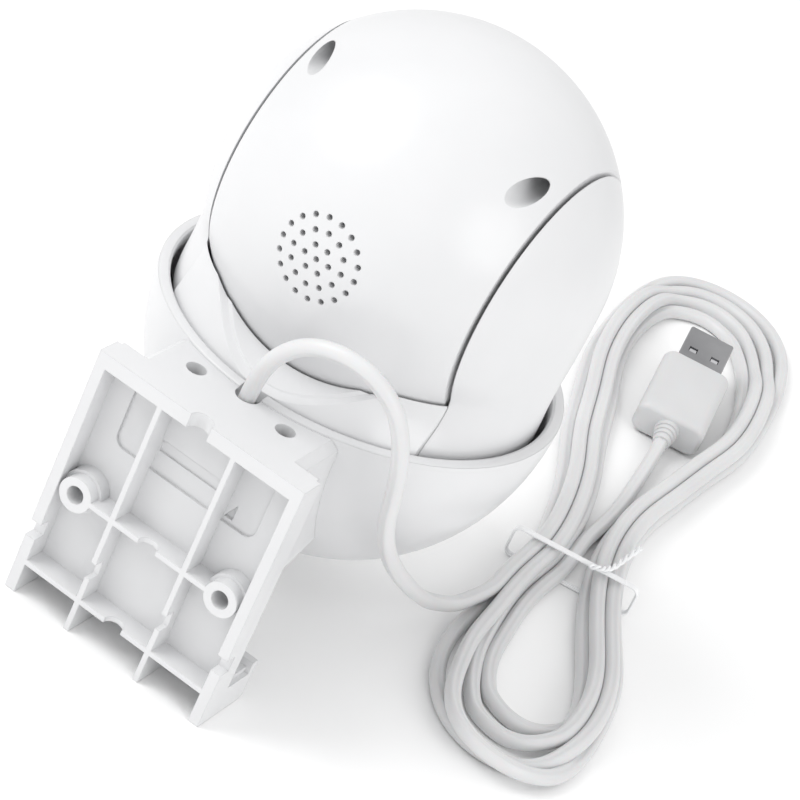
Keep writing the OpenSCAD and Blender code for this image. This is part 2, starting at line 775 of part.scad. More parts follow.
module front_bezel() {
    color(white) at_head() difference() {
        head_ball(head_r, half_w);
        box(-60, 60, split_y, 60, -60, 60);
        box(-60, 60, -60, face_y, -60, 60);
        intersection() {
            head_ball(head_r - shell_t, half_w - shell_t);
            box(-60, 60, -32, 60, -60, 60);
        }
        rod_y(window_r + 0.2, -40, -33.2);
        rod_y(18.8, -40, -30);
    }
}

module front_window() {
    color(dark) at_head() difference() {
        rod_y(window_r, -34.7, -33.2);
        rod_y(7.2, -40, -30);
    }
}

module lens_ring() {
    color(steel) at_head() difference() {
        rod_y(9.6, -35.8, -34.7);
        rod_y(7.3, -40, -30);
    }
}

module lens_barrel() {
    color(dark) at_head() difference() {
        union() {
            rod_y(7, -35.6, -24);
            rod_y(9, -24, -9.6);
        }
        rotate([90, 0, 0]) translate([0, 0, 31]) cylinder(r1 = 4.6, r2 = 6.2, h = 5);
    }
}

module lens_glass() {
    color("#1b2a44") at_head() intersection() {
        translate([0, -24, 0]) sphere(10);
        rod_y(4.5, -40, -31);
    }
}

module head_chassis() {
    color(pale) at_head() difference() {
        union() {
            intersection() {
                rod_y(37.6, 0, 2);
                box(-26, 26, -60, 60, -60, 60);
            }
            both_sides() translate([well_x, 0, well_z]) rod_y(2.4, 0, 2);
            both_sides() for (s = [-1, 1]) translate([11, 0, 11 * s]) rod_y(2, -8, 1);
        }
        box(-30, -10, -9, 9, -14, 28);
        box(22.5, 30, -9, 9, -9, 9);
        both_sides() translate([well_x, 0, well_z]) rod_y(1.22, -10, 10);
        both_sides() for (s = [-1, 1]) translate([11, 0, 11 * s]) rod_y(0.8, -9, 3);
    }
}

module head_screws() {
    color(steel) at_head() both_sides() translate([well_x, 0, well_z]) translate([0, well_floor, 0])
        rotate([90, 0, 0]) screw_up(1.2, 8, 2.2, 1.6);
}

module image_board() {
    color(pcb_green) at_head() difference() {
        box(-14, 14, -9.6, -8, -14, 14);
        both_sides() for (s = [-1, 1]) translate([11, 0, 11 * s]) rod_y(1, -12, -5);
    }
}

module ir_board() {
    color(pcb_green) at_head() difference() {
        rod_y(18.5, -31.2, -30.2);
        rod_y(7.6, -40, -20);
    }
}

module ir_leds() {
    color("#40384a") at_head() for (k = [0:7]) rotate([0, 22.5 + 45 * k, 0]) translate([13.5, 0, 0])
        rod_y(1.5, -33, -31.2);
}

module sensor_parts() {
    color(pale) at_head() {
        translate([0, 0, 15]) rod_y(1.1, -32.6, -31.2);
        translate([0, 0, -15]) rod_y(1.3, -32.6, -31.2);
        box(14, 16.4, -32.4, -31.2, -1.2, 1.2);
    }
}

module speaker() {
    color(dark) at_head() translate([0, 0, grille_z]) {
        rod_y(10, 30.5, 34);
        rod_y(6, 26, 30.5);
    }
}

module speaker_gasket() {
    color("#55565a") at_head() translate([0, 0, grille_z]) difference() {
        rod_y(10.2, 34, 36.6);
        rod_y(9, 30, 40);
    }
}

module tilt_motor() {
    color(steel) at_head() translate([tilt_gear_x + 3.6, 0, tilt_centre]) rotate([0, -90, 0])
        rotate([0, 0, 90]) can_motor();
}

module tilt_motor_screws() {
    color(steel) at_head() for (s = [-1, 1]) translate([tilt_gear_x + 4.4, 10 * s, tilt_centre])
        rotate([0, -90, 0]) screw_up(0.85, 4.6, 1.6, 0.9);
}

module tilt_pinion() {
    color(brass) at_head() translate([0, 0, tilt_centre]) {
        translate([tilt_gear_x, 0, 0]) rotate([0, 90, 0])
            rotate([0, 0, 180 / tilt_pinion_n]) gear(tilt_pinion_n, shaft_r - 0.2, gear_t, 0.9, 0.2);
        rod_x(shaft_r, tilt_gear_x - 0.4, tilt_gear_x + 7);
    }
}

module wifi_antenna() {
    color(brass) at_head() box(-9, 9, 2, 2.6, 28, 34);
}

// --- Lead, hank and plug ---

module cord_lead() {
    color(white) swept_tube(open_spline(lead_route, 2), lead_d / 2, 8);
}

module cord_bundle() {
    outer = closed_spline(hank_outer, 3);
    inner = closed_spline(hank_inner, 3);
    n = len(outer);
    color(white) translate([0, 0, floor_z]) linear_extrude(hank_h) polygon(concat(outer, inner),
        [[for (i = [0:n - 1]) i], [for (i = [n:n + len(inner) - 1]) i]]);
}

module twist_tie() {
    color(pale) translate([0, 0, floor_z]) translate([-47, -120, 0]) rotate([0, 0, 13]) difference() {
        box(-15.8, 15.8, -1, 1, 0, hank_h + 1);
        box(-15, 15, -2, 2, -1, hank_h);
    }
}

module plug_lead() {
    color(white) swept_tube(open_spline(plug_route, 2), lead_d / 2, 8);
}

module plug_relief() {
    color(white) at_plug() translate([0, relief_len, 0]) rotate([90, 0, 0])
        cylinder(r1 = 2.1, r2 = 3.2, h = relief_len);
}

module plug_body() {
    r = 2.2;
    color(white) at_plug() rotate([90, 0, 0]) linear_extrude(plug_len) hull()
        for (x = [-1, 1], z = [-1, 1]) translate([x * (plug_w / 2 - r), z * (plug_h / 2 - r)]) circle(r, $fn = 32);
}

module usb_shell() {
    color(steel) at_plug() difference() {
        box(-shell_w / 2, shell_w / 2, -plug_len - shell_len, -plug_len, -shell_h / 2, shell_h / 2);
        box(-shell_w / 2 + 0.4, shell_w / 2 - 0.4, -plug_len - shell_len - 1, -plug_len - 1,
            -shell_h / 2 + 0.4, shell_h / 2 - 0.4);
        both_sides() box(1.9, 4.1, -plug_len - 7.4, -plug_len - 5.2, -5, 5);
    }
}

module usb_tongue() {
    color(dark) at_plug() box(-5.4, 5.4, -plug_len - shell_len + 0.6, -plug_len - 1, -shell_h / 2 + 0.4, 0);
}

wall_bracket();
bracket_screws();
base_cup();
bottom_cover();
bottom_screws();
foot_pad();
reset_button();
motor_deck();
deck_screws();
pan_motor();
pan_motor_screws();
pan_pinion();
pan_bush();
main_board();
board_parts();
power_socket();
reset_switch();
cord_grommet();
inner_lead();
turntable();
hub_retainer();
pan_gear();
collar();
arm_cover_left();
arm_cover_right();
arm_screws();
tilt_gear();
pivot_screws();
tilt_bushes();
head_shell();
front_bezel();
front_window();
lens_ring();
lens_barrel();
lens_glass();
head_chassis();
head_screws();
image_board();
ir_board();
ir_leds();
sensor_parts();
speaker();
speaker_gasket();
tilt_motor();
tilt_motor_screws();
tilt_pinion();
wifi_antenna();
cord_lead();
cord_bundle();
twist_tie();
plug_lead();
plug_relief();
plug_body();
usb_shell();
usb_tongue();
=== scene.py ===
import json
import math

import bmesh
import bpy
import numpy as np
from mathutils import Euler, Matrix, Vector

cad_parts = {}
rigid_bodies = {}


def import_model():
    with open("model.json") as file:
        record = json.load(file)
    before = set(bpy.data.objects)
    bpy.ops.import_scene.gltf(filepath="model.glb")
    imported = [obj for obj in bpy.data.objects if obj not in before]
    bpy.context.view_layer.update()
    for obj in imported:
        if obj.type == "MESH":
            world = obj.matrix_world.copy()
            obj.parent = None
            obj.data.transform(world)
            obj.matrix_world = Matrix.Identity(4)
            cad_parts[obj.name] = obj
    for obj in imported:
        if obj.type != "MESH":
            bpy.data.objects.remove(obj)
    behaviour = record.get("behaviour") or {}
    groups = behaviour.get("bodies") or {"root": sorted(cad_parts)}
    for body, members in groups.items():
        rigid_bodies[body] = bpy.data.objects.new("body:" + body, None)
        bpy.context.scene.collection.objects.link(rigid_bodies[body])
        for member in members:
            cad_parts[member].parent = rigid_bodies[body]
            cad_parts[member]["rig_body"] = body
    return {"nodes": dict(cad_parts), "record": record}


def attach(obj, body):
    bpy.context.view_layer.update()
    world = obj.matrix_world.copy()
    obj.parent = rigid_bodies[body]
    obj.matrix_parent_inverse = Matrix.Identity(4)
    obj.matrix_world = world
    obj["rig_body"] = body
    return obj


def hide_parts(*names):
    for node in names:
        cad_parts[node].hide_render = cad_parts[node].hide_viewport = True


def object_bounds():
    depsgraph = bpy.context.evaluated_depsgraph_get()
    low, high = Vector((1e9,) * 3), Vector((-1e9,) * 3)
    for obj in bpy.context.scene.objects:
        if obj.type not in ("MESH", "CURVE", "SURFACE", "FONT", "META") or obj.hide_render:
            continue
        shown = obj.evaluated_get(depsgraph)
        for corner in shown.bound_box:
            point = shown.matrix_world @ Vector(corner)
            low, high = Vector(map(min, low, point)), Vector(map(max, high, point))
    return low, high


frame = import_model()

# Sizes and places are in millimetres in the frame's axes, except where a comment says metres.
# A piece called NODE_fine is a copy of the CAD node NODE, shaded on the node's exact surfaces.

MM = 0.001
UP = np.array([0, 0, 1.0])
CAD_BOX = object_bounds()
NODES = frame["nodes"]
SLOT_OF = {row["node"]: row["material_slot"] for row in frame["record"]["subparts"]}
JOINTS = {joint["name"]: joint for joint in frame["record"]["behaviour"]["joints"]}


def joint_at(name):
    return np.round(np.array(JOINTS[name]["pos_m"]) / MM, 3)


FLOOR = round(CAD_BOX[0][2] / MM, 2)
RIM = joint_at("pan")  # middle of the cup's rim
HEAD = joint_at("tilt")  # middle of the head's ball
HEAD_UP = HEAD[2] - RIM[2]
HEAD_R = 41.0


# --- Camera, at the photograph's viewing angle, in metres and degrees ---

CAMERA_AT = (-0.1831, 0.4530, 0.3263)
CAMERA_TURN = (58.172, -21.9, -148.667)
camera_data = bpy.data.cameras.new("camera")
camera_data.lens = 138.15
camera_data.sensor_width = 36
camera_data.clip_start, camera_data.clip_end = 0.02, 20
camera = bpy.data.objects.new("camera", camera_data)
bpy.context.scene.collection.objects.link(camera)
camera.matrix_world = Matrix.LocRotScale(
    Vector(CAMERA_AT), Euler([math.radians(angle) for angle in CAMERA_TURN]), None)
bpy.context.scene.camera = camera


# --- Materials ---

def node_of(tree, kind, **settings):
    """A new shader node, each setting put on the input of that name or on the node itself."""
    node = tree.nodes.new(kind)
    for key, value in settings.items():
        if key in node.inputs:
            node.inputs[key].default_value = value
        else:
            setattr(node, key, value)
    return node


def noise(tree, scale, detail=3.0, rough=0.55, stretch=None):
    """A noise pattern in the object's own metres, drawn out along the axes where stretch is small."""
    place = node_of(tree, "ShaderNodeTexCoord").outputs["Object"]
    if stretch:
        mapping = node_of(tree, "ShaderNodeMapping", Scale=stretch)
        tree.links.new(place, mapping.inputs["Vector"])
        place = mapping.outputs["Vector"]
    texture = node_of(tree, "ShaderNodeTexNoise", Scale=scale, Detail=detail, Roughness=rough)
    tree.links.new(place, texture.inputs["Vector"])
    return texture.outputs["Fac"]


def spread(tree, value, low, high):
    """Maps a noise value, which stays near the middle, to low..high."""
    node = node_of(tree, "ShaderNodeMapRange")
    node.inputs["From Min"].default_value, node.inputs["From Max"].default_value = 0.3, 0.7
    node.inputs["To Min"].default_value, node.inputs["To Max"].default_value = low, high
    tree.links.new(value, node.inputs["Value"])
    return node.outputs["Result"]


def two_colours(tree, value, first, second):
    """Goes from the first colour to the second as a noise value rises."""
    node = node_of(tree, "ShaderNodeValToRGB")
    for stop, position, colour in zip(node.color_ramp.elements, (0.34, 0.66), (first, second)):
        stop.position, stop.color = position, (*colour, 1)
    tree.links.new(value, node.inputs["Fac"])
    return node.outputs["Color"]


def grained(tree, grain, depth, stretch, edge):
    """A normal with a fine grain on it, and with corners that look rounded to the radius edge."""
    bump = node_of(tree, "ShaderNodeBump", Strength=1.0, Distance=depth * MM)
    tree.links.new(noise(tree, grain, detail=1.0, rough=0.5, stretch=stretch), bump.inputs["Height"])
    if edge:
        bevel = node_of(tree, "ShaderNodeBevel", Radius=edge * MM, samples=4)
        tree.links.new(bevel.outputs["Normal"], bump.inputs["Normal"])
    return bump.outputs["Normal"]


def surface(name, colours, rough, grain, depth, metallic=0.0, patch=45.0, edge=0.0, stretch=None, **sockets):
    """A material whose colour and roughness wander over patches and whose grain is a fine bump."""
    material = bpy.data.materials.new(name)
    material.use_nodes = True
    tree = material.node_tree
    shader = tree.nodes["Principled BSDF"]
    shader.inputs["Metallic"].default_value = metallic
    for key, value in sockets.items():
        shader.inputs[key.replace("_", " ")].default_value = value
    rough_patch = patch * 4.3
    tree.links.new(two_colours(tree, noise(tree, patch), *colours), shader.inputs["Base Color"])
    tree.links.new(spread(tree, noise(tree, rough_patch), *rough), shader.inputs["Roughness"])
    tree.links.new(grained(tree, grain, depth, stretch, edge), shader.inputs["Normal"])
    return material


LOOKS = {
    "white_plastic": dict(colours=((0.685, 0.688, 0.696), (0.705, 0.707, 0.715)), rough=(0.28, 0.34),
                          grain=800, depth=0.002, edge=0.3, Coat_Weight=0.12, Coat_Roughness=0.25),
    "inner_plastic": dict(colours=((0.74, 0.74, 0.73), (0.79, 0.79, 0.78)), rough=(0.42, 0.55),
                          grain=2200, depth=0.006),
    "cord_jacket": dict(colours=((0.65, 0.652, 0.658), (0.685, 0.687, 0.692)), rough=(0.36, 0.5),
                        grain=1200, depth=0.004, Subsurface_Weight=0.08, Subsurface_Scale=0.001),
    "overmould": dict(colours=((0.595, 0.597, 0.603), (0.625, 0.627, 0.633)), rough=(0.34, 0.46),
                      grain=1000, depth=0.004, Subsurface_Weight=0.08, Subsurface_Scale=0.001),
    "tie_plastic": dict(colours=((0.86, 0.87, 0.88), (0.92, 0.92, 0.93)), rough=(0.2, 0.35),
                        grain=1500, depth=0.01, Coat_Weight=0.4, Coat_Roughness=0.15),
    "screw_steel": dict(colours=((0.5, 0.5, 0.51), (0.62, 0.62, 0.63)), rough=(0.25, 0.4),
                        grain=2400, depth=0.004, metallic=1.0),
    "motor_steel": dict(colours=((0.48, 0.48, 0.5), (0.6, 0.6, 0.61)), rough=(0.28, 0.42),
                        grain=1800, depth=0.004, metallic=1.0, stretch=(1, 1, 0.08)),
    "plug_steel": dict(colours=((0.30, 0.30, 0.31), (0.38, 0.38, 0.39)), rough=(0.3, 0.42),
                       grain=1500, depth=0.004, metallic=1.0, stretch=(0.15, 1, 1)),
    "gear_brass": dict(colours=((0.66, 0.48, 0.2), (0.78, 0.6, 0.3)), rough=(0.28, 0.42),
                       grain=2000, depth=0.004, metallic=1.0),
    "window_black": dict(colours=((0.012, 0.012, 0.016), (0.02, 0.02, 0.026)), rough=(0.08, 0.12), grain=300,
                         depth=0.001, Specular_IOR_Level=0.3, Coat_Weight=0.15, Coat_Roughness=0.05),
    "black_plastic": dict(colours=((0.02, 0.02, 0.022), (0.035, 0.035, 0.038)), rough=(0.4, 0.55),
                          grain=2200, depth=0.008),
    "lens_metal": dict(colours=((0.6, 0.6, 0.62), (0.7, 0.7, 0.72)), rough=(0.2, 0.3),
                       grain=2000, depth=0.003, metallic=1.0),
    "lens_glass": dict(colours=((0.05, 0.07, 0.12), (0.08, 0.07, 0.14)), rough=(0.03, 0.05), grain=200,
                       depth=0.0005, Coat_Weight=1.0, Coat_Roughness=0.02, Specular_IOR_Level=0.9),
    "board_green": dict(colours=((0.03, 0.16, 0.07), (0.05, 0.24, 0.11)), rough=(0.3, 0.45),
                        grain=900, depth=0.01),
    "board_cans": dict(colours=((0.5, 0.5, 0.5), (0.62, 0.62, 0.62)), rough=(0.3, 0.45),
                       grain=1500, depth=0.004, metallic=1.0),
    "lamp_tint": dict(colours=((0.10, 0.08, 0.13), (0.15, 0.12, 0.18)), rough=(0.1, 0.18),
                      grain=600, depth=0.001),
    "foot_rubber": dict(colours=((0.38, 0.38, 0.39), (0.46, 0.46, 0.47)), rough=(0.6, 0.8),
                        grain=2600, depth=0.02),
    "gasket_foam": dict(colours=((0.07, 0.07, 0.07), (0.13, 0.13, 0.13)), rough=(0.8, 0.95),
                        grain=3000, depth=0.05),
    "floor_paper": dict(colours=((0.95, 0.95, 0.95), (0.97, 0.97, 0.97)), rough=(0.8, 0.9),
                        grain=900, depth=0.01, patch=3),
}
MATERIALS = {name: surface(name, **look) for name, look in LOOKS.items()}


# --- Meshes. Points are in millimetres until an object is made ---

def object_from(name, mesh):
    ob = bpy.data.objects.new(name, mesh)
    bpy.context.scene.collection.objects.link(ob)
    return ob


def mesh_object(name, points, faces):
    """A closed mesh, its doubled points joined and its faces turned outward."""
    joined = 1e-7  # metres
    mesh = bpy.data.meshes.new(name)
    mesh.from_pydata((np.asarray(points, float) * MM).tolist(), [], [list(map(int, f)) for f in faces])
    mesh.validate()
    bm = bmesh.new()
    bm.from_mesh(mesh)
    bmesh.ops.remove_doubles(bm, verts=bm.verts, dist=joined)
    bmesh.ops.recalc_face_normals(bm, faces=bm.faces)
    bm.to_mesh(mesh)
    bm.free()
    return object_from(name, mesh)


def smooth(ob, angle=30):
    """Smooth shading, with edges sharper than angle degrees kept."""
    ob.data.shade_smooth()
    ob.data.set_sharp_from_angle(angle=math.radians(angle))


def finish_piece(ob, slot, body, *nodes, look=None):
    """Gives a piece the material of its slot or look, the body that it rides, and hides the nodes that it
    replaces.
    """
    ob.data.materials.clear()
    ob.data.materials.append(MATERIALS[look or slot])
    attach(ob, body)
    if nodes:
        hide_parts(*nodes)
    return ob


def copy_of(node, name, dissolve):
    """A new object with a CAD node's shape, its doubled points joined and its flat faces merged."""
    joined, degenerate = 2e-6, 1e-6  # metres
    mesh = NODES[node].data.copy()
    mesh.name = name
    bm = bmesh.new()
    bm.from_mesh(mesh)
    bmesh.ops.remove_doubles(bm, verts=bm.verts, dist=joined)
    bmesh.ops.dissolve_degenerate(bm, edges=bm.edges, dist=degenerate)
    bmesh.ops.dissolve_limit(bm, angle_limit=math.radians(dissolve), verts=bm.verts, edges=bm.edges,
                             delimit=set())
    bm.to_mesh(mesh)
    bm.free()
    if "custom_normal" in mesh.attributes:
        mesh.attributes.remove(mesh.attributes["custom_normal"])
    return object_from(name, mesh)


def placed(points, matrix):
    return [tuple(matrix @ Vector(p)) for p in points]


def circle(radius, count):
    """Points round a circle, whose radius is one number or one for each point."""
    angles = np.linspace(0, 2 * math.pi, count, endpoint=False)
    return np.stack([radius * np.cos(angles), radius * np.sin(angles)], 1)


def rounded_rectangle(w, h, r, per_corner=8):
    out = []
    for cx, cz, start in ((1, 1, 0), (-1, 1, 90), (-1, -1, 180), (1, -1, 270)):
        for k in range(per_corner + 1):
            a = math.radians(start + 90 * k / per_corner)
            out.append((cx * (w / 2 - r) + r * math.cos(a), cz * (h / 2 - r) + r * math.sin(a)))
    return out


def lofted(name, sections, matrix):
    """Joins sections, each (y, outline of (x, z) points), into a closed solid."""
    k = len(sections[0][1])
    points = [(x, y, z) for y, outline in sections for x, z in outline]
    faces = [[i * k + j, i * k + (j + 1) % k, (i + 1) * k + (j + 1) % k, (i + 1) * k + j]
             for i in range(len(sections) - 1) for j in range(k)]
    faces += [list(range(k)), [(len(sections) - 1) * k + j for j in range(k)]]
    return mesh_object(name, placed(points, matrix), faces)


def box_mesh(name, x, y, z, matrix):
    """A box between two values on each axis."""
    points = [(a, b, c) for a in x for b in y for c in z]
    faces = [(0, 1, 3, 2), (4, 6, 7, 5), (0, 4, 5, 1), (2, 3, 7, 6), (0, 2, 6, 4), (1, 5, 7, 3)]
    return mesh_object(name, placed(points, matrix), faces)


def cut(ob, cutters):
    """Takes the cutters out of an object and removes them."""
    for cutter in cutters:
        modifier = ob.modifiers.new("cut", "BOOLEAN")
        modifier.operation, modifier.solver, modifier.object = "DIFFERENCE", "EXACT", cutter
    bpy.context.view_layer.update()
    mesh = bpy.data.meshes.new_from_object(ob.evaluated_get(bpy.context.evaluated_depsgraph_get()))
    ob.modifiers.clear()
    ob.data = mesh
    for cutter in cutters:
        bpy.data.objects.remove(cutter)


# --- The lead: one length from the bracket, through the tied hank, to the plug ---

LEAD_D = 3.5
LOW = FLOOR + LEAD_D / 2
PATH_STEP = 1.2
OPEN_TO = 9.5  # radius that tight bends are opened to
GROOVE = 0.18  # depth of the jacket's two grooves, as a part of its radius
HOP = 3.65  # how high a turn passes over the one that takes its place
TAIL = 0.066  # the part of a fifth lap that leads out to the plug
LEAD_ROUTE = [[0, -16.4, 27], [0, -16.4, 31], [-0.5, -15.5, 33.5], [-1, -15, 37], [-2.5, -14, 42],
              [-5.5, -13.5, 46.5], [-8.5, -13, 49.5], [-13, -13, 51.5], [-17.5, -13.5, 52], [-22, -14, 51.2],
              [-25.5, -15, 49.2], [-29, -16, 46], [-31.5, -17, 41], [-33, -18, 35.5], [-33.5, -20, 29.5],
              [-33.4, -22.5, 23.2], [-33.4, -26, 17.5], [-33.8, -30.5, 11.3], [-34.7, -37, 4.5],
              [-36, -46, -3], [-36.8, -57, -10.8], [-36.8, -66, -16], [-37.2, -73, -19.4],
              [-38.2, -78.5, -21.3]]
PLUG_ROUTE = [[-42.4, -138, -25.4], [-42.1, -146, -25.5], [-41, -158, -25.6], [-39, -170, -25.4],
              [-37, -181, -24.9], [-35.4, -189, -24.3], [-34.1, -194.6, -23.5]]
# Middle line of the hank and half its width there, once round from the waist's near side
HANK = [(-42, -90, 4), (-40, -106, 3.5), (-39, -123, 4), (-35, -141, 5), (-29, -159, 5.5), (-21, -177, 6),
        (-14, -196, 6), (-6, -217, 5.5), (-1, -239, 5), (0, -260, 6), (-5, -275, 9.5), (-15, -279, 10.5),
        (-26, -272, 9.5), (-36, -255, 7), (-43, -234, 5), (-47, -212, 4), (-47, -192, 3.5), (-47, -174, 3.5),
        (-47, -155, 4), (-50, -137, 4.5), (-56, -120, 5), (-63, -106, 5.5), (-70, -93, 5.5), (-75, -79, 4.5),
        (-77, -64, 5), (-74, -53, 8), (-67, -49, 10), (-59, -52, 9.5), (-51, -62, 7.5), (-45, -75, 5.5)]


def spline(points, closed=False, steps=12):
    """A smooth line through the points."""
    p = np.asarray(points, float)
    n = len(p)
    out = []
    for i in range(n if closed else n - 1):
        at = [(i + k) % n if closed else min(max(i + k, 0), n - 1) for k in (-1, 0, 1, 2)]
        a, b, c, d = p[at]
        for t in np.arange(steps) / steps:
            out.append(0.5 * (2 * b + (c - a) * t + (2 * a - 5 * b + 4 * c - d) * t * t
                              + (3 * b - a - 3 * c + d) * t ** 3))
    if not closed:
        out.append(p[-1])
    return np.array(out)


def resample(points, step):
    """The same line with its points about a step apart."""
    lengths = np.concatenate([[0], np.cumsum(np.linalg.norm(np.diff(points, axis=0), axis=1))])
    at = np.linspace(0, lengths[-1], max(2, int(round(lengths[-1] / step)) + 1))
    return np.stack([np.interp(at, lengths, points[:, k]) for k in range(points.shape[1])], 1)


def eased(points, passes, weight=0.5):
    """Evens out a line, keeping its ends."""
    p = points.copy()
    for _ in range(passes):
        p[1:-1] += weight * ((p[:-2] + p[2:]) / 2 - p[1:-1])
    return p


def step_up(x, start, length):
    """Rises smoothly from 0 to 1 over a length of x."""
    t = np.clip((x - start) / length, 0, 1)
    return t * t * (3 - 2 * t)


def units(vectors):
    return vectors / np.linalg.norm(vectors, axis=1, keepdims=True)


def hank_lap():
    """One lap of the hank: points, outward directions and half-widths at even steps."""
    dense = spline(HANK, closed=True, steps=16)
    loop = resample(np.concatenate([dense, dense[:1]]), 1.0)[:-1]
    tangent = np.roll(loop[:, :2], -1, 0) - np.roll(loop[:, :2], 1, 0)
    for _ in range(12):
        tangent = (np.roll(tangent, 1, 0) + 2 * tangent + np.roll(tangent, -1, 0)) / 4
    tangent = units(tangent)
    outward = np.stack([-tangent[:, 1], tangent[:, 0]], 1)
    return loop[:, :2], outward, loop[:, 2]


def hank_points():
    """Four laps. A and D lie low at the band's edges, B and C beside and on them; E leads out to the plug.

    Where a lap ends, round the hank's near tip, a turn moves to a lane for the tip and then to its next one.
    """
    centre, outward, half = hank_lap()
    n = len(centre)
    s = np.arange(n) / n
    edge = half - LEAD_D / 2
    middle = np.maximum(LEAD_D / 2, edge / 3)
    low = 0 * s
    pile = np.sqrt(np.clip(LEAD_D ** 2 - np.clip(edge - middle, 0, None) ** 2, 0, None))
    # Where on a lap, from 0 to 1, each move starts, and how long it takes
    to_tip_lane = step_up(s, 0.885, 0.07)
    to_next_lane = step_up(s, 0.925, 0.075)
    settle = step_up(s, 0.912, 0.05)
    hop = HOP * step_up(s, 0.868, 0.035)
    hop_down = step_up(s, 0.955, 0.04)
    side = {"A": edge, "B": middle, "C": -middle, "D": -edge, "E": -edge - LEAD_D,
            "outer": edge / 3, "inner": -edge / 3}
    height = {"A": low, "B": pile, "C": pile, "D": low, "E": low}

    def lap(lane, tip_lane, next_lane):
        across = (side[lane] + (side[tip_lane] - side[lane]) * to_tip_lane
                  + (side[next_lane] - side[tip_lane]) * to_next_lane)
        if lane == "A":  # passes over the turn that takes its place
            up = hop + (height[next_lane] - hop) * hop_down
        else:
            up = height[lane] + (height[next_lane] - height[lane]) * settle
        return np.column_stack([centre + outward * across[:, None], LOW + up])

    laps = [lap("B", "A", "A"), lap("A", "outer", "C"), lap("C", "inner", "D"), lap("D", "D", "E")]
    tail = lap("E", "E", "E")
    return eased(np.concatenate(laps + [tail[:int(TAIL * n)]]), 16)


def opened(points, least, reach=4, passes=120):
    """Lets the tightest bends open until their radius, from three points reach apart, is about least."""
    p = points.copy()
    spread_out = np.ones(17) / 6
    straight = 99
    for _ in range(passes):
        before, at, behind = p[:-2 * reach], p[reach:-reach], p[2 * reach:]
        sides = [np.linalg.norm(u - v, axis=1) for u, v in ((at, before), (behind, at), (behind, before))]
        area = np.linalg.norm(np.cross(at - before, behind - before), axis=1) / 2
        radius = np.pad(sides[0] * sides[1] * sides[2] / (4 * area + 1e-9), reach, constant_values=straight)
        tight = np.clip((least - radius) / 2, 0, 1)
        tight = np.clip(np.convolve(tight, spread_out, "same"), 0, 1)[:, None]
        p[1:-1] += 0.5 * tight[1:-1] * ((p[:-2] + p[2:]) / 2 - p[1:-1])
    return p


def cord_path():
    """The whole lead's middle line. The hank's first points give way to the lead that joins them."""
    start = spline(LEAD_ROUTE, steps=10)
    plug_run = spline(PLUG_ROUTE, steps=10)
    whole = resample(np.concatenate([start, hank_points()[3:], plug_run]), PATH_STEP)
    whole = resample(eased(whole, 10), PATH_STEP)
    return resample(opened(whole, OPEN_TO), PATH_STEP)


def tube(name, path, section):
    """Sweeps a closed section along a path, turning it slowly so that its first axis lies level."""
    level_run, turn_share = 0.6, 0.04
    n, k = len(path), len(section)
    tangent = units(np.gradient(path, axis=0))
    side = np.cross(tangent[-1], UP)
    side /= np.linalg.norm(side)
    points = np.empty((n, k, 3))
    for i in range(n - 1, -1, -1):
        side = side - tangent[i] * (side @ tangent[i])
        flat = np.cross(tangent[i], UP)
        if np.linalg.norm(flat) > level_run:
            flat = flat / np.linalg.norm(flat)
            flat *= np.sign(flat @ side) or 1.0
            side = side + turn_share * (flat - side)
        side /= np.linalg.norm(side)
        over = np.cross(side, tangent[i])
        points[i] = path[i] + section[:, :1] * side + section[:, 1:] * over
    rings = np.arange(n - 1)[:, None] * k
    at, after = rings + np.arange(k), rings + (np.arange(k) + 1) % k
    faces = np.stack([at, after, after + k, at + k], -1).reshape(-1, 4).tolist()
    faces += [list(range(k)), [(n - 1) * k + j for j in range(k - 1, -1, -1)]]
    ob = mesh_object(name, points.reshape(-1, 3), faces)
    smooth(ob, 60)
    return ob


def jacket_section(count=28):
    """The jacket's outline: round, with a groove at the top and one below."""
    upright = np.abs(np.sin(np.linspace(0, 2 * math.pi, count, endpoint=False)))
    groove = np.exp(-((upright - 1) / 0.03) ** 2)
    return circle(LEAD_D / 2 * (1 - GROOVE * groove), count)


CORD_PATH = cord_path()
cord = tube("lead_cord", CORD_PATH, jacket_section())
finish_piece(cord, "cord_jacket", "base", "cord_lead", "cord_bundle", "plug_lead")


# --- The plug. Its own y axis runs back along the lead, from the overmould's rear end ---

PLUG_AT = (-33.2, -198.5, -22.9)
PLUG_TURN, PLUG_TILT = 14, -8
PLUG_W, PLUG_H, PLUG_LEN = 18, 8.8, 27
PLUG_ROUND = 2.9
PLUG_END_ROUND = 1.3
USB_W, USB_H = 12, 4.5
USB_WALL = 0.35
USB_TIP = -43
WINDOW_X, WINDOW_Y = (1.9, 4.1), (-34.4, -32.2)
AT_PLUG = (Matrix.Translation(Vector(PLUG_AT)) @ Matrix.Rotation(math.radians(PLUG_TURN), 4, "Z")
           @ Matrix.Rotation(math.radians(PLUG_TILT), 4, "X"))


def plug_overmould():
    """A block with rounded corners and ends."""
    least_round = 0.6
    quarter = [math.radians(angle) for angle in np.linspace(0, 90, 9)]
    rear = [(-PLUG_END_ROUND * (1 - math.cos(a)), PLUG_END_ROUND * (1 - math.sin(a))) for a in quarter]
    front = [(-PLUG_LEN - y, margin) for y, margin in reversed(rear)]
    sections = []
    for y, margin in rear + front:
        corner = max(least_round, PLUG_ROUND - margin)
        sections.append((y, rounded_rectangle(PLUG_W - 2 * margin, PLUG_H - 2 * margin, corner)))
    ob = lofted("plug_overmould", sections, AT_PLUG)
    smooth(ob, 40)
    return finish_piece(ob, "cord_jacket", "base", "plug_body", look="overmould")


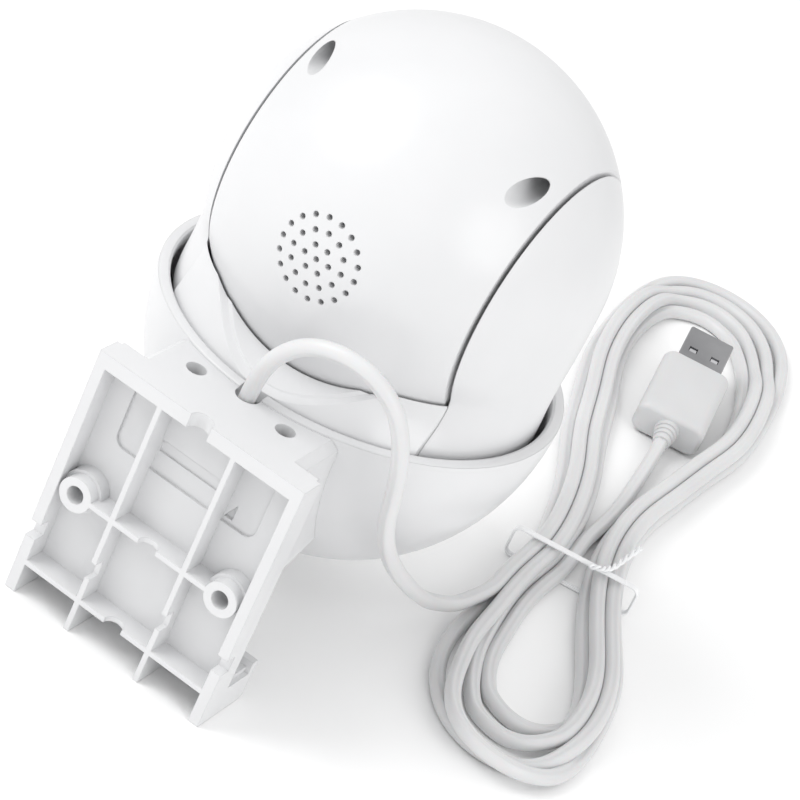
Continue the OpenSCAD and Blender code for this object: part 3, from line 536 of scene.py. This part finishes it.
def strain_relief():
    """A tapered sleeve with three ribs."""
    pitch, taper = 1.45, 0.28
    profile = [(6.0, 2.1), (5.0, 2.25)]
    for k in range(3):
        y, wider = 4.4 - pitch * k, taper * k
        profile += [(y + 0.3, 2.35 + wider), (y + 0.22, 2.02 + wider), (y - 0.22, 2.06 + wider),
                    (y - 0.3, 2.45 + wider)]
    profile += [(0.3, 3.15), (-0.4, 3.2)]
    ob = lofted("plug_strain_relief", [(y, circle(r, 32)) for y, r in profile], AT_PLUG)
    smooth(ob, 35)
    return finish_piece(ob, "cord_jacket", "base", "plug_relief", look="overmould")


def usb_steel_shell():
    """The plug's metal shell: a thin open box with two windows through it."""
    root, lip = 0.4 - PLUG_LEN, 0.2
    outside = rounded_rectangle(USB_W, USB_H, 0.6, 5)
    mouth = rounded_rectangle(USB_W - lip, USB_H - lip, 0.5, 5)
    inside = rounded_rectangle(USB_W - 2 * USB_WALL, USB_H - 2 * USB_WALL, 0.3, 5)
    ob = lofted("usb_steel_shell", [(root, outside), (USB_TIP + lip, outside), (USB_TIP, mouth)], AT_PLUG)
    cutters = [lofted("shell_inside", [(y, inside) for y in (-PLUG_LEN - 1, USB_TIP - 2)], AT_PLUG)]
    cutters += [box_mesh("window", [s * x for x in WINDOW_X], WINDOW_Y, (-5, 5), AT_PLUG) for s in (-1, 1)]
    cut(ob, cutters)
    smooth(ob, 30)
    return finish_piece(ob, "plug_steel", "base", "usb_shell")


def usb_spring_tab(index, s):
    """A low hump of sheet steel in one of the shell's windows."""
    outline = rounded_rectangle(1.9, 0.3, 0.1, 2)
    middle = s * sum(WINDOW_X) / 2
    hump = ((-34.2, 1.75), (-33.2, 1.95), (-32.4, 1.75))  # places along the plug, and heights
    sections = [(y, [(middle + x, z + top) for x, z in outline]) for y, top in hump]
    ob = lofted("usb_spring_tab_%d" % index, sections, AT_PLUG)
    smooth(ob, 30)
    return finish_piece(ob, "lens_metal", "base")


plug_body = plug_overmould()
relief = strain_relief()
steel = usb_steel_shell()
tabs = [usb_spring_tab(index, s) for index, s in enumerate((-1, 1))]


# --- The twist tie, a band round the hank's waist with two twisted tails ---

TIE_AT = np.array([-47, -120, FLOOR + 4.0])
TIE_TURN = math.radians(13)
TIE_ALONG = np.array([math.cos(TIE_TURN), math.sin(TIE_TURN), 0])
TIE_ACROSS = np.array([-math.sin(TIE_TURN), math.cos(TIE_TURN), 0])
TIE_WIDTH, TIE_THICK = 1.9, 0.5
TIE_LOOP_W, TIE_LOOP_H, TIE_LOOP_ROUND = 30.9, 7.4, 1.8
TAIL_ROUTE = [(-50.5, -118.6, -19.0), (-53, -120.4, -18.9), (-54.2, -124, -19.0), (-54.3, -131, -19.2),
              (-54.4, -138.2, -19.4)]
# Half-widths and heights of the band's section, with the ridge of the wire in its middle
BAND_SECTION = [(-0.5, 0), (-0.44, 0.42), (-0.16, 0.5), (-0.1, 0.95), (0.1, 0.95), (0.16, 0.5), (0.44, 0.42),
                (0.5, 0), (0.42, -0.4), (-0.42, -0.4)]


def with_midpoints(outline, long=3):
    """Adds three points along each side that is longer than long."""
    out = []
    for start, end in zip(outline, outline[1:] + outline[:1]):
        out.append(start)
        if math.dist(start, end) > long:
            out += [tuple(np.array(start) + (np.array(end) - start) * t) for t in (0.25, 0.5, 0.75)]
    return out


def twist_tie_band():
    """A flat band bent into a closed loop in the upright plane through TIE_ALONG."""
    outline = with_midpoints(rounded_rectangle(TIE_LOOP_W, TIE_LOOP_H, TIE_LOOP_ROUND))
    path = np.array([TIE_AT + TIE_ALONG * x + UP * z for x, z in outline])
    out = np.cross(units(np.roll(path, -1, 0) - np.roll(path, 1, 0)), TIE_ACROSS)
    points = np.array([[p + TIE_ACROSS * (u * TIE_WIDTH) + o * (v * TIE_THICK) for u, v in BAND_SECTION]
                       for p, o in zip(path, out)])
    n, k = len(path), len(BAND_SECTION)
    faces = [[i * k + j, i * k + (j + 1) % k, (i + 1) % n * k + (j + 1) % k, (i + 1) % n * k + j]
             for i in range(n) for j in range(k)]
    ob = mesh_object("twist_tie_band", points.reshape(-1, 3), faces)
    smooth(ob, 50)
    return finish_piece(ob, "tie_plastic", "base", "twist_tie")


def tie_tail(index, phase, twists=4.5, wind=0.38, wire=0.36):
    """One of the two strands wound round each other along the tail's route."""
    middle = spline(TAIL_ROUTE, steps=30)
    tangent = units(np.gradient(middle, axis=0))
    side = units(np.cross(tangent, UP))
    over = np.cross(side, tangent)
    a = phase + np.linspace(0, 2 * math.pi * twists, len(middle))
    wound = middle + wind * (side * np.cos(a)[:, None] + over * np.sin(a)[:, None])
    return finish_piece(tube("tie_tail_%d" % index, wound, circle(wire, 14)), "tie_plastic", "base")


tie = twist_tie_band()
strands = [tie_tail(index, phase) for index, phase in enumerate((0, math.pi))]


# --- Exact surfaces of the head, arms, collar and base ---

FLARE = 12.0  # height above the rim where the yoke's ball shape ends
SEAM = 29.8  # the arms' inner side, from the middle
COLLAR_FOOT_R, ARM_FOOT_R = 40.7, 39.6  # at the rim's height
CUP_R, CUP_DEEP = 44, 47.6
HEAD_WALL, ARM_WALL, COLLAR_WALL, CUP_WALL = 2.2, 1.8, 1.3, 2.2
TROUGH_R = 41.5  # the collar's hollow round the head
UPRIGHT_IN, UPRIGHT_OUT = 41.7, 43.3  # the turntable's faces round the head


def exact(field, centre):
    """Distance and normal of the surface where field(x, y, z), measured from centre, is zero."""
    def measure(p):
        d = np.asarray(p, float) - centre
        step = 0.02
        gradient = np.stack([(field(*(d + step * axis).T) - field(*(d - step * axis).T)) / (2 * step)
                             for axis in np.eye(3)], 1)
        steep = np.maximum(np.linalg.norm(gradient, axis=1), 1e-6)
        return field(*d.T) / steep, gradient / steep[:, None]
    return measure


def ball(radius):
    return exact(lambda x, y, z: np.sqrt(x * x + y * y + z * z) - radius, HEAD)


def turned(radius_at, low, high):
    """A surface of revolution about the pan axis, from its radius at each height above the rim."""
    margin, far_off = 0.05, 50

    def field(x, y, z):
        outside = np.clip(low - margin - z, 0, None) + np.clip(z - high - margin, 0, None)
        return np.hypot(x, y) - radius_at(np.clip(z, low, high)) + far_off * outside
    return exact(field, RIM)


def yoke_radius(rim, rim_lean=6.5):
    """The yoke's outer radius at a height above the rim: a ball that flares out below FLARE."""
    def radius_at(z):
        t = np.clip((FLARE - z) / FLARE, 0, 1)
        start = math.sqrt(HEAD_R ** 2 - (FLARE - HEAD_UP) ** 2)
        lean = -FLARE * (HEAD_UP - FLARE) / start
        flared = ((2 * t ** 3 - 3 * t ** 2 + 1) * start + (t ** 3 - 2 * t ** 2 + t) * lean
                  + (3 * t ** 2 - 2 * t ** 3) * rim + (t ** 3 - t ** 2) * rim_lean)
        on_ball = np.sqrt(np.maximum(HEAD_R ** 2 - (z - HEAD_UP) ** 2, 0.01))
        return np.where(z > FLARE, on_ball, flared)
    return radius_at


def cup_radius(wall=0.0):
    """The cup's radius at a height above its rim, outside or a wall further in."""
    return lambda z: (CUP_R - wall) * np.sqrt(np.maximum(1 - (z / (CUP_DEEP - wall)) ** 2, 0.01))


def inset(radius_at, by):
    return lambda z: radius_at(z) - by


def arm_side(by=0.0):
    """An arm's skin: level ellipses whose side stays upright while the edges follow the collar."""
    lean, draw_in = yoke_radius(ARM_FOOT_R), 0.7

    def field(x, y, z):
        r = lean(np.maximum(z, 0))
        t = np.clip((HEAD_UP - np.maximum(z, 0)) / HEAD_UP, 0, 1)
        a = np.where(z > HEAD_UP, r, HEAD_R - draw_in * t * t)
        b = np.where(z > HEAD_UP, r, np.sqrt(np.maximum(r * r - SEAM * SEAM, 1)
                                             / np.maximum(1 - (SEAM / a) ** 2, 0.01)))
        a, b = a - by, b - by
        size = np.sqrt((x / a) ** 2 + (y / b) ** 2)
        return (size - 1) * a * np.where(np.abs(x) < 20, 9, 1)  # far off near the middle, where no arm is
    return exact(field, RIM)


def mesh_array(items, attribute, width=1, kind=np.float32):
    """One attribute of a mesh's points, corners or faces as an array."""
    values = np.empty(len(items) * width, kind)
    items.foreach_get(attribute, values)
    return values.reshape(-1, width) if width > 1 else values


def exact_normals(ob, surfaces):
    """Smooth shading that follows the exact surfaces where a face lies on one of them."""
    face_near, corner_near = 0.2, 0.09
    square_on, small = 0.96, 0.06e-6  # small in square metres
    smooth(ob)
    mesh = ob.data
    normals = mesh_array(mesh.corner_normals, "vector", 3)
    vertex_of = mesh_array(mesh.loops, "vertex_index", kind=np.int32)
    corner_points = mesh_array(mesh.vertices, "co", 3)[vertex_of] / MM
    corners = mesh_array(mesh.polygons, "loop_total", kind=np.int32)
    centres = mesh_array(mesh.polygons, "center", 3) / MM
    flat = mesh_array(mesh.polygons, "normal", 3)
    sliver = mesh_array(mesh.polygons, "area") < small
    starts = np.concatenate([[0], np.cumsum(corners)[:-1]])
    face_of = np.repeat(np.arange(len(corners)), corners)
    for measure in surfaces:
        corner_off, normal = measure(corner_points)
        face_off, face_normal = measure(centres)
        facing = (face_normal * flat).sum(1)
        good = (np.abs(face_off) < face_near) & ((np.abs(facing) > square_on) | sliver)
        good &= np.maximum.reduceat(np.abs(corner_off), starts) < corner_near
        telling = good & ~sliver
        way = np.sign(np.median(facing[telling])) if telling.any() else 1.0
        use = good[face_of]
        normals[use] = normal[use] * way
    mesh.normals_split_custom_set(normals.tolist())


HEAD_SKINS = [ball(HEAD_R), ball(HEAD_R - HEAD_WALL)]
ARM_SKINS = [arm_side(), arm_side(ARM_WALL)]
COLLAR_OUT = yoke_radius(COLLAR_FOOT_R)
COLLAR_SKINS = [turned(skin, 0.0, 22) for skin in (COLLAR_OUT, inset(COLLAR_OUT, COLLAR_WALL))]
CUP_SKINS = [turned(cup_radius(), -44, -1), turned(cup_radius(CUP_WALL), -42, -3)]
EXACT = {
    "head_shell": HEAD_SKINS,
    "front_bezel": HEAD_SKINS,
    "arm_cover_left": ARM_SKINS,
    "collar": COLLAR_SKINS + [ball(TROUGH_R)],
    "base_cup": CUP_SKINS,
    "turntable": [ball(UPRIGHT_IN), ball(UPRIGHT_OUT)],
    "arm_cover_right": ARM_SKINS,
}
for node, surfaces in EXACT.items():
    piece = copy_of(node, node + "_fine", dissolve=0.3)
    exact_normals(piece, surfaces)
    finish_piece(piece, SLOT_OF[node], NODES[node]["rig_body"], node)


# --- The bracket, with small rounded edges, and the CAD nodes that stay as they are ---

bracket = copy_of("wall_bracket", "wall_bracket_fine", dissolve=0.5)
bevel = bracket.modifiers.new("edges", "BEVEL")
bevel.width, bevel.segments = 0.22 * MM, 2
bevel.limit_method, bevel.angle_limit = "ANGLE", math.radians(38)
bevel.use_clamp_overlap = True
bevel.harden_normals = True
smooth(bracket)
finish_piece(bracket, "white_plastic", "base", "wall_bracket")

for node, ob in NODES.items():
    if not ob.hide_render:
        ob.data.materials.clear()
        ob.data.materials.append(MATERIALS[SLOT_OF[node]])


# --- Floor and light, in metres and watts ---

FLOOR_HALF = 3
FLOOR_TOP = FLOOR * MM - 0.00005
AIM = (0, -0.05, 0.03)


def soft_light(name, at, size, power):
    """A round area light pointed at the object."""
    data = bpy.data.lights.new(name, "AREA")
    data.shape, data.size, data.energy = "DISK", size, power
    lamp = bpy.data.objects.new(name, data)
    bpy.context.scene.collection.objects.link(lamp)
    lamp.location = at
    lamp.rotation_euler = (Vector(AIM) - Vector(at)).to_track_quat("-Z", "Y").to_euler()


floor_data = bpy.data.meshes.new("floor")
floor_corners = [(x * FLOOR_HALF, y * FLOOR_HALF, FLOOR_TOP) for x, y in ((-1, -1), (1, -1), (1, 1), (-1, 1))]
floor_data.from_pydata(floor_corners, [], [(0, 1, 2, 3)])
floor = object_from("floor", floor_data)
floor.data.materials.append(MATERIALS["floor_paper"])

world = bpy.data.worlds.new("studio")
bpy.context.scene.world = world
world.use_nodes = True
world.node_tree.nodes["Background"].inputs["Color"].default_value = (1, 1, 1, 1)
world.node_tree.nodes["Background"].inputs["Strength"].default_value = 0.88

soft_light("key", (0.5, 0.3, 0.68), size=0.55, power=3.6)
soft_light("fill", (-0.8, 0.3, 0.45), size=0.6, power=2.2)
bpy.context.scene.view_settings.view_transform = "Standard"
